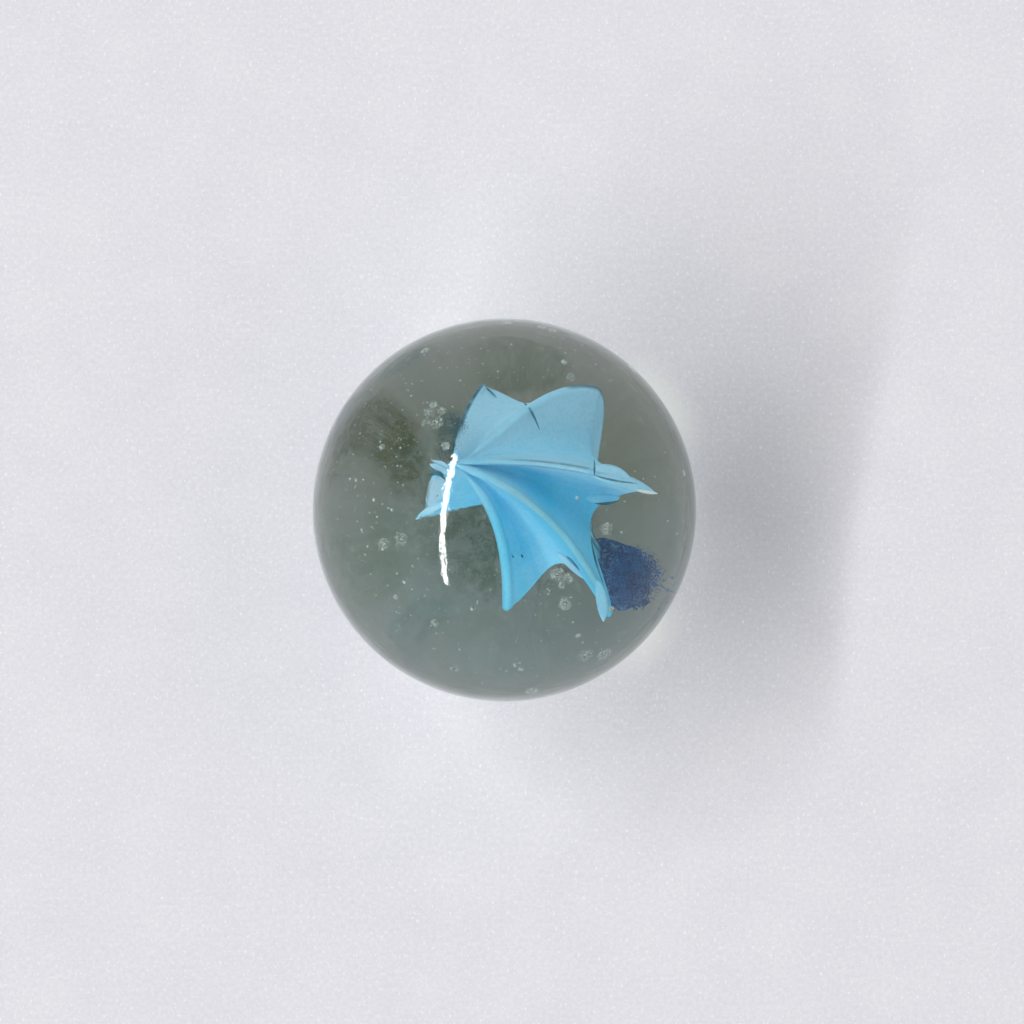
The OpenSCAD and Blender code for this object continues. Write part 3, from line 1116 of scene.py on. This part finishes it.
# Side of the sheet in millimetres.
FLOOR_SIZE = 1500.0


def make_floor():
    """A flat sheet that touches the ball's lowest point."""
    edge = FLOOR_SIZE / 2
    corners = [(x * edge, y * edge, -BALL_R) for x, y in ((-1, -1), (1, -1), (1, 1), (-1, 1))]
    return mesh_piece("floor_sheet", corners, [[0, 1, 2, 3]], floor_material())


make_floor()


def strip_lamp(name, start, end, width, radiance):
    """A flat lamp of even radiance along the line from start to end, which faces the origin.

    Its power is radiance times area times pi, which is what a flat lamp of that radiance gives.
    """
    start, end = np.array(start, float), np.array(end, float)
    length = np.linalg.norm(end - start)
    place = (start + end) / 2
    side = (end - start) / length
    back = unit(place - side * (place @ side))
    light = bpy.data.lights.new(name, "AREA")
    light.shape = "RECTANGLE"
    light.size = length
    light.size_y = width
    light.energy = radiance * length * width * np.pi
    lamp = bpy.data.objects.new(name, light)
    turn = Matrix(np.stack([side, np.cross(back, side), back], 1).tolist()).to_4x4()
    lamp.matrix_world = Matrix.Translation(place) @ turn
    bpy.context.scene.collection.objects.link(lamp)
    return lamp


# The tube lamp hangs a metre over the ball, to its left, and bends a little in its middle.
# Lamps' sizes and places are metres.
TUBE_LIGHT = 32
TUBE_WIDTH = 0.066
TUBE_START = (-0.629, 0.723, 1.0)
TUBE_MIDDLE = (-0.727, -0.123, 1.0)
TUBE_END = (-0.947, -1.213, 1.0)
strip_lamp("tube_back", TUBE_START, TUBE_MIDDLE, TUBE_WIDTH, TUBE_LIGHT)
strip_lamp("tube_front", TUBE_MIDDLE, TUBE_END, TUBE_WIDTH, TUBE_LIGHT)

# Two soft lamps, behind and in front, that only light the inside of the glass: place and
# radiance.
FILL_SIZE = 0.8
FILL_LAMPS = {
    "fill_back": ((0.1, 0.8, 0.6), 2.0),
    "fill_front": ((0.0, -0.8, 0.6), 2.2),
}
for name, (place, radiance) in FILL_LAMPS.items():
    place = np.array(place)
    half = unit(np.cross([0, 0, 1.0], place)) * FILL_SIZE / 2
    lamp = strip_lamp(name, place - half, place + half, FILL_SIZE, radiance)
    lamp.visible_diffuse = False
    lamp.visible_glossy = False


# Strength of the room's light from the sides and from overhead, and the heights of a unit
# direction between which it changes.
ROOM_LIGHT = 0.62
OVERHEAD_LIGHT = 0.1
OVERHEAD_FROM = (0.8, 0.9)


def make_world():
    """Even pale light from all round, dimmer straight overhead."""
    world = bpy.data.worlds.new("room")
    bpy.context.scene.world = world
    world.use_nodes = True
    tree = world.node_tree
    place = tree.nodes.new("ShaderNodeTexCoord")
    split = tree.nodes.new("ShaderNodeSeparateXYZ")
    ramp = tree.nodes.new("ShaderNodeMapRange")
    ramp.interpolation_type = "SMOOTHSTEP"
    ramp.inputs["From Min"].default_value = OVERHEAD_FROM[0]
    ramp.inputs["From Max"].default_value = OVERHEAD_FROM[1]
    ramp.inputs["To Min"].default_value = ROOM_LIGHT
    ramp.inputs["To Max"].default_value = OVERHEAD_LIGHT
    tree.links.new(place.outputs["Generated"], split.inputs["Vector"])
    tree.links.new(split.outputs["Z"], ramp.inputs["Value"])
    tree.links.new(ramp.outputs["Result"], tree.nodes["Background"].inputs["Strength"])
    tree.nodes["Background"].inputs["Color"].default_value = WHITE


make_world()

# Nearest and furthest that the camera sees, in metres.
CAMERA_SIGHT = (0.001, 10)


def make_camera():
    """A camera over the ball whose lens gives the ball's outline the wanted radius."""
    data = bpy.data.cameras.new("camera")
    camera = bpy.data.objects.new("camera", data)
    bpy.context.scene.collection.objects.link(camera)
    data.sensor_width = SENSOR
    data.lens = SENSOR * BALL_OUTLINE_R / OUTLINE_SLOPE / PICTURE
    data.shift_x = (PICTURE / 2 - BALL_X) / PICTURE
    data.shift_y = (BALL_Y - PICTURE / 2) / PICTURE
    data.clip_start, data.clip_end = CAMERA_SIGHT
    camera.location = (0, 0, CAMERA_HEIGHT * MM)
    bpy.context.scene.camera = camera


make_camera()
bpy.context.scene.view_settings.view_transform = "Standard"
